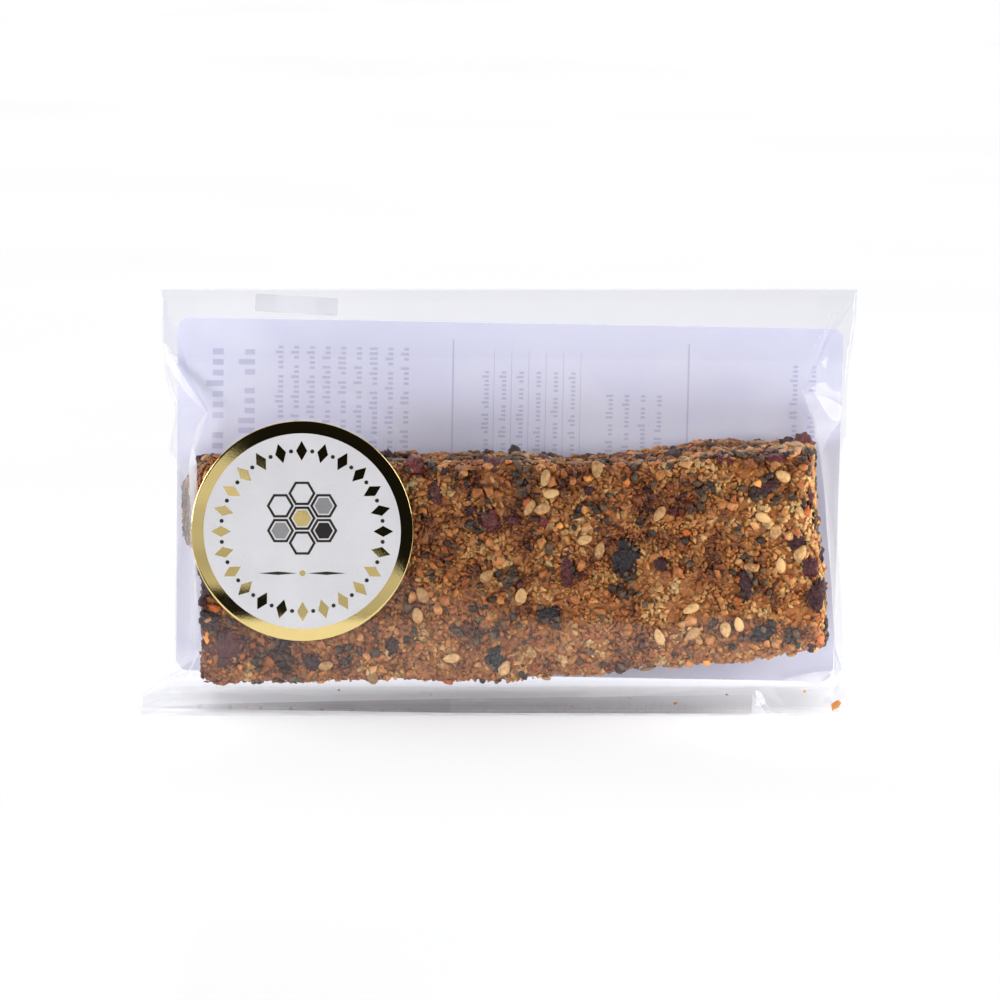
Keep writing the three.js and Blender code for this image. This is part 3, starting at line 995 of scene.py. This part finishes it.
def printed(form, sides, width, height, x, z, turn, finish, hole=0.0):
    """One printed shape: a flat plate, or a frame where hole gives its inner share."""
    place = (Matrix.Translation((x, STICKER_FRONT, z)) @ Matrix.Rotation(turn, 4, "Y")
             @ Matrix.Rotation(math.pi / 2, 4, "X") @ Matrix.Diagonal((width, height, 1, 1)))
    made = bmesh.ops.create_circle(form, cap_ends=True, segments=sides, radius=0.5, matrix=place)
    face = made["verts"][0].link_faces[0]
    if hole:
        inner = bmesh.ops.inset_region(form, faces=[face], thickness=0.5 * width * (1 - hole),
                                       use_boundary=True, use_even_offset=True)
        ring = inner["faces"]
        bmesh.ops.delete(form, geom=[face], context="FACES")
    else:
        ring = [face]
    raised = bmesh.ops.extrude_face_region(form, geom=ring)
    lifted = [item for item in raised["geom"] if isinstance(item, bmesh.types.BMVert)]
    bmesh.ops.translate(form, verts=lifted, vec=(0, -PRINT_LIFT, 0))
    for item in raised["geom"] + ring:
        if isinstance(item, bmesh.types.BMFace):
            item.material_index = finish


def on_circle(radius, angle):
    return radius * math.sin(angle), radius * math.cos(angle)


def sticker_print():
    """A ring of diamonds and dots, seven honeycomb cells of which four are filled, and a rule."""
    foil, black, grey = 0, 1, 2
    form = bmesh.new()
    for step in range(DIAMONDS):
        angle = 2 * math.pi * step / DIAMONDS
        between = angle + math.pi / DIAMONDS
        printed(form, 4, 2.0, 3.6, *on_circle(DIAMOND_RING, angle), angle, foil)
        printed(form, 12, 0.75, 0.75, *on_circle(DIAMOND_RING, between), 0, black)
    cells = [(0, 0)] + [on_circle(CELL_STEP, math.pi * step / 3) for step in range(6)]
    filled = {0: foil, 2: grey, 3: black, 5: grey}
    for number, (x, z) in enumerate(cells):
        printed(form, 6, 4.9, 4.9, x, z + PATCH_HEIGHT, math.pi / 6, black, hole=0.82)
        if number in filled:
            printed(form, 6, 3.3, 3.3, x, z + PATCH_HEIGHT, math.pi / 6, filled[number])
    for x in (-4.4, 4.4):
        printed(form, 4, 7.0, 0.62, x, RULE_HEIGHT, 0, black)
    printed(form, 16, 1.1, 1.1, 0, RULE_HEIGHT, 0, foil)
    bmesh.ops.recalc_face_normals(form, faces=form.faces)
    settle_sticker(form)
    return set_down("sticker_print", form)


FOIL = foil_material()
sticker = blank_sticker()
complete(sticker, "sticker",
         paper_material("sticker_paper", (211, 210, 214), (203, 202, 206), 0.45), FOIL)
complete(sticker_print(), "sticker", FOIL,
         paper_material("black_ink", (34, 31, 30), (26, 24, 24), 0.35),
         paper_material("grey_ink", (140, 139, 142), (126, 125, 128), 0.4))
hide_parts("sticker")

# ------------------------------ back label
# A big paper label with rounded corners on the back. It keeps the back film flat and holds the
# folded top down. Its print is bars in place of words, and shows faintly through to the inside.
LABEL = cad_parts["back_label"]
LABEL_X = 1.4
LABEL_Z = 35.3
LABEL_TURN = 0.018        # its right end hangs a little low
LABEL_INNER = 13.0
LABEL_OUTER = 13.2
INK_THICKNESS = 0.03

LABEL.data.materials.clear()
LABEL.data.materials.append(
    paper_material("label_paper", (243, 244, 255), (236, 237, 253), 0.6))


def word_bars(x, low, high, size):
    """A line of print between two heights: ticks as tall as small letters, with gaps as between
    words. Each is (x, z, width, height)."""
    ticks = []
    start = high
    while start > low:
        for _ in range(rng.randint(2, 9)):
            if start < low:
                return ticks
            tall = size * rng.choice((0.62, 0.62, 0.62, 1.0))
            ticks.append((x + (size - tall) / 2, start, tall, 0.34 * size))
            start -= 0.62 * size
        start -= 0.55 * size
    return ticks


def label_layout():
    """All bars of the print. The lines run up the label, as it stands on its end to be read."""
    bars = word_bars(-54.5, -18, 27, 3.2)
    bars += word_bars(-48.6, -6, 27, 3.0)
    for line in range(9):
        bars += word_bars(-42.6 + 2.9 * line, rng.uniform(-30, -20), 28, 1.5)
    bars += [(-10.5, 0, 0.3, 60), (33.0, 0, 0.3, 60)]
    for line in range(6):
        x = -4.5 + 3.2 * line
        bars += word_bars(x, 6, 24, 1.3)
        bars += word_bars(x, -20, -10, 1.3)
        bars.append((x + 1.6, 2, 0.12, 52))
    for line in range(4):
        bars += word_bars(18.5 + 3.0 * line, rng.uniform(-20, 0), 20, 1.3)
    for stripe in range(12):
        bars.append((38 + 1.05 * stripe, -9, 0.5, 22))
    for line in range(2):
        bars += word_bars(52.5 + 3.4 * line, -18 + 16 * line, 26, 1.4)
    return bars


def label_print(name, bars, front, back, material):
    """The bars as flat plates of ink, moved from the label's middle to where the label hangs."""
    form = bmesh.new()
    for x, z, width, height in bars:
        middle = (x, (front + back) / 2, z)
        place = Matrix.Translation(middle) @ Matrix.Diagonal((width, back - front, height, 1))
        bmesh.ops.create_cube(form, size=1.0, matrix=place)
    hung = (Matrix.Scale(MM, 4) @ Matrix.Translation((LABEL_X, 0, LABEL_Z))
            @ Matrix.Rotation(LABEL_TURN, 4, "Y"))
    bmesh.ops.transform(form, matrix=hung, verts=form.verts)
    return complete(set_down(name, form), "paper", material)


label_bars = label_layout()
LABEL_INKS = [
    label_print("label_print", label_bars, LABEL_OUTER, LABEL_OUTER + INK_THICKNESS,
                paper_material("label_ink", (74, 72, 80), (58, 56, 64), 0.5)),
    label_print("print_showing_through", label_bars, LABEL_INNER - INK_THICKNESS, LABEL_INNER,
                paper_material("ink_through_paper", (218, 218, 238), (208, 208, 231), 0.6)),
]

# ------------------------------ tape tab
# A short strip of clear tape on the folded top, just above the label. Its glue is milky at both
# ends, where the strip was pressed down.
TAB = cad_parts["tape_tab"]


def tape_material():
    material, tree, skin = new_material("milky_tape")
    wavy = multiply_add(tree, noise_in(tree, 500.0), 0.04, along(tree, "X", -45.1, -29.9))
    feed(tree, skin, {
        "Base Color": shades(
            tree, wavy, (0.0, 226, 226, 232), (0.26, 228, 228, 234), (0.29, 250, 250, 252),
            (0.73, 250, 250, 252), (0.76, 228, 228, 234)),
        "Roughness": 0.25, "Alpha": 0.2})
    return material


TAB.data.materials.clear()
TAB.data.materials.append(tape_material())

# ------------------------------ loose crumbs
# Chips of the same baked mix that broke off the slab and fell to the foot of the bag. Nothing
# holds them: they lie on the film.
CRUMBS = [
    # x, y, size, tone
    (61.2, -7.9, 1.6, 0.62), (32.1, -3.1, 0.6, 0.55), (55.2, -11.6, 0.45, 0.6), (13.1, -5.6, 0.4, 0.8),
    (-12.8, 4.8, 0.35, 0.5), (-8.0, 4.8, 0.3, 0.75), (-30.0, 9.0, 0.35, 0.2), (-46.4, -5.6, 0.3, 0.7),
    (-49.5, -3.0, 0.25, 0.6), (24.0, 2.0, 0.3, 0.5), (42.0, 5.0, 0.35, 0.3), (3.0, -8.0, 0.25, 0.6),
]
crumb_places = []
for x, y, size, tone in CRUMBS:
    spot, normal, _, _ = BAG_WALL.ray_cast(Vector((x, y, 6)) * MM, Vector((0, 0, -1)))
    crumb_places.append((lying(spot, -normal, size, 0.6 * size, 0.4), rng.randrange(6), tone))
scatter("loose_crumbs", chip_shapes(6, 12, (1.0, 0.85, 0.75)), crumb_places, "granola",
        chip_material("crumb", 0.35, [
            (0.2, 110, 56, 18), (0.5, 184, 108, 40), (0.8, 226, 156, 78), (1.0, 240, 214, 170)]))

# ------------------------------ the studio
# A white table with its front edge a hand's width before the pack, a bright surround overhead and
# behind, and a soft box at each side. The room in front is dim, so the film stays clear. A cloth
# before the table fills the view, and a grey card lies where only the foil mirrors it.
TABLE_FRONT = -0.152
CARD = [
    # y, x of the card's right edge, from the table outwards
    (TABLE_FRONT, 0.010), (-0.205, -0.0155), (-0.253, -0.025), (-0.70, -0.108),
]
CAMERA_TARGET = Vector((0, 0, 0.0376))
CAMERA_DISTANCE = 0.76
CAMERA_RISE = math.radians(9.5)


def staged_plane(name, corners, dark, light, height=0.0, clouds=3.0):
    """Flat parts of the table, each given by four corners: near left and right, far left and right."""
    form = bmesh.new()
    for square in corners:
        verts = bmesh.ops.create_grid(form, x_segments=1, y_segments=1, size=0.5)["verts"]
        for vert, (x, y) in zip(sorted(verts, key=lambda v: (v.co.y, v.co.x)), square):
            vert.co = (x, y, height)
    plane = set_down(name, form)
    material, tree, skin = new_material(name + "_white")
    stops = [(place, (grey, grey, 1.01 * grey, 1)) for place, grey in ((0.3, dark), (0.7, light))]
    feed(tree, skin, {"Base Color": ramp(tree, noise_in(tree, clouds), *stops),
                      "Roughness": 0.8, "Specular IOR Level": 0.1})
    plane.data.materials.append(material)
    return plane


def gathered(name, pieces):
    group = bpy.data.collections.new(name)
    for piece in pieces:
        group.objects.link(piece)
    return group


def soft_box(name, place, width, height, power, lit, aim=(0, 0, 0.04)):
    """A soft box aimed at the middle of the pack. It lights only the pieces it is for."""
    light = bpy.data.lights.new(name, "AREA")
    light.shape = "RECTANGLE"
    light.size = width
    light.size_y = height
    light.energy = power
    lamp = bpy.data.objects.new(name, light)
    lamp.location = place
    lamp.rotation_euler = (Vector(aim) - Vector(place)).to_track_quat("-Z", "Y").to_euler()
    lamp.light_linking.receiver_collection = lit
    lamp.visible_camera = False
    bpy.context.scene.collection.objects.link(lamp)
    return lamp


def table_light(name, strength, lit, blockers, tilt):
    """Light from above that reaches the table alone and keeps it white."""
    light = bpy.data.lights.new(name, "SUN")
    light.energy = strength
    light.angle = math.radians(46)
    lamp = bpy.data.objects.new(name, light)
    lamp.rotation_euler.x = math.radians(tilt)
    lamp.light_linking.receiver_collection = lit
    lamp.light_linking.blocker_collection = blockers
    bpy.context.scene.collection.objects.link(lamp)


def surround():
    """White to the camera. To gloss and to surfaces it is bright above and behind, dim in front."""
    world = bpy.data.worlds.new("studio")
    bpy.context.scene.world = world
    world.use_nodes = True
    tree = world.node_tree
    tree.nodes.clear()
    direction = add(tree, "ShaderNodeTexCoord").outputs["Generated"]
    parts = add(tree, "ShaderNodeSeparateXYZ", {0: direction})
    depth = add(tree, "ShaderNodeMapRange", {
        "Value": parts.outputs["Y"], "From Min": -0.75, "From Max": 0.2, "To Min": 0.008,
        "To Max": 1.15})
    lit = add(tree, "ShaderNodeBackground", {"Color": (1, 1, 1, 1), "Strength": depth.outputs[0]})
    seen = add(tree, "ShaderNodeBackground", {"Color": (1, 1, 1, 1), "Strength": 1.0})
    path = add(tree, "ShaderNodeLightPath")
    mix = add(tree, "ShaderNodeMixShader", {
        0: path.outputs["Is Camera Ray"], 1: lit.outputs[0], 2: seen.outputs[0]})
    leave = add(tree, "ShaderNodeOutputWorld")
    tree.links.new(mix.outputs[0], leave.inputs["Surface"])


def camera():
    eye = bpy.data.cameras.new("camera")
    eye.sensor_width = 36.0
    eye.lens = 149.9
    eye.clip_end = 20.0
    body = bpy.data.objects.new("camera", eye)
    back = Vector((0, -math.cos(CAMERA_RISE), math.sin(CAMERA_RISE)))
    body.location = CAMERA_TARGET + CAMERA_DISTANCE * back
    body.rotation_euler = (-back).to_track_quat("-Z", "Y").to_euler()
    bpy.context.scene.collection.objects.link(body)
    bpy.context.scene.camera = body


pack = gathered("pack", [piece for piece in bpy.context.scene.collection.objects
                         if piece.type == "MESH"])
table = staged_plane("table", [[(-4, TABLE_FRONT), (4, TABLE_FRONT), (-4, 5), (4, 5)]], 0.34, 0.36)
cloth = staged_plane("cloth", [[(-4, -0.5), (4, -0.5), (-4, TABLE_FRONT), (4, TABLE_FRONT)]],
                     0.34, 0.36)
cloth.visible_glossy = False
cloth.visible_diffuse = False
(edge_y, edge_x), (gap_y, gap_x), (bend_y, bend_x), (far_y, far_x) = CARD
card = staged_plane("card", [
    [(-0.045, gap_y), (gap_x, gap_y), (-0.045, edge_y), (edge_x, edge_y)],
    [(-0.5, bend_y), (bend_x, bend_y), (-0.5, gap_y), (gap_x, gap_y)],
    [(-0.5, far_y), (far_x, far_y), (-0.5, bend_y), (bend_x, bend_y)],
], 0.17, 0.32, height=0.0003, clouds=8.0)
card.visible_camera = False
card.visible_diffuse = False
card.visible_shadow = False
bar = gathered("bar", [slab] + MIX)
paper = gathered("paper", [LABEL] + LABEL_INKS)
floor = gathered("floor", [table, cloth, card])
# name, place, width, height, watts, what it lights
soft_box("box_left", (-0.95, -0.85, 0.20), 0.5, 0.6, 11.0, pack)
soft_box("box_right", (1.0, -0.75, 0.45), 0.7, 0.8, 8.0, pack)
soft_box("box_above", (0, 0.55, 0.95), 1.2, 0.5, 5.0, pack)
soft_box("edge_left", (-1.1, 0.05, 0.25), 0.5, 0.7, 3.5, pack)
soft_box("edge_right", (1.05, 0.30, 0.25), 0.5, 0.7, 3.5, pack)
table_light("table_light", 4.0, floor, floor, 0)
table_light("table_light_shaded", 2.5, floor, gathered("shading", [table, cloth, slab]), 10)
# weak lamps for the light that the white table throws back at the pack, and for the light that
# reaches the table through the clear film at both ends of the bag
glows = [
    soft_box("label_glow", (0.03, -0.16, 0.002), 0.36, 0.2, 0.275, paper, aim=(0.03, -0.16, 1)),
    soft_box("table_glow", (0, -0.052, 0.004), 0.13, 0.02, 0.038, bar, aim=(0, -0.012, 0.010)),
    soft_box("end_glow", (0.094, -0.04, 0.035), 0.02, 0.05, 0.045, bar, aim=(0.058, -0.01, 0.03)),
    soft_box("foot_glow_left", (-0.068, 0, 0.06), 0.04, 0.04, 0.007, floor, aim=(-0.068, 0, 0)),
    soft_box("foot_glow_right", (0.060, 0, 0.06), 0.05, 0.04, 0.013, floor, aim=(0.060, 0, 0)),
]
for lamp in glows:
    lamp.visible_glossy = False
for lamp in glows[3:]:
    lamp.light_linking.blocker_collection = floor
    lamp.data.spread = math.radians(80)
surround()
camera()
scene = bpy.context.scene
scene.view_settings.view_transform = "Standard"
scene.cycles.transparent_max_bounces = 32
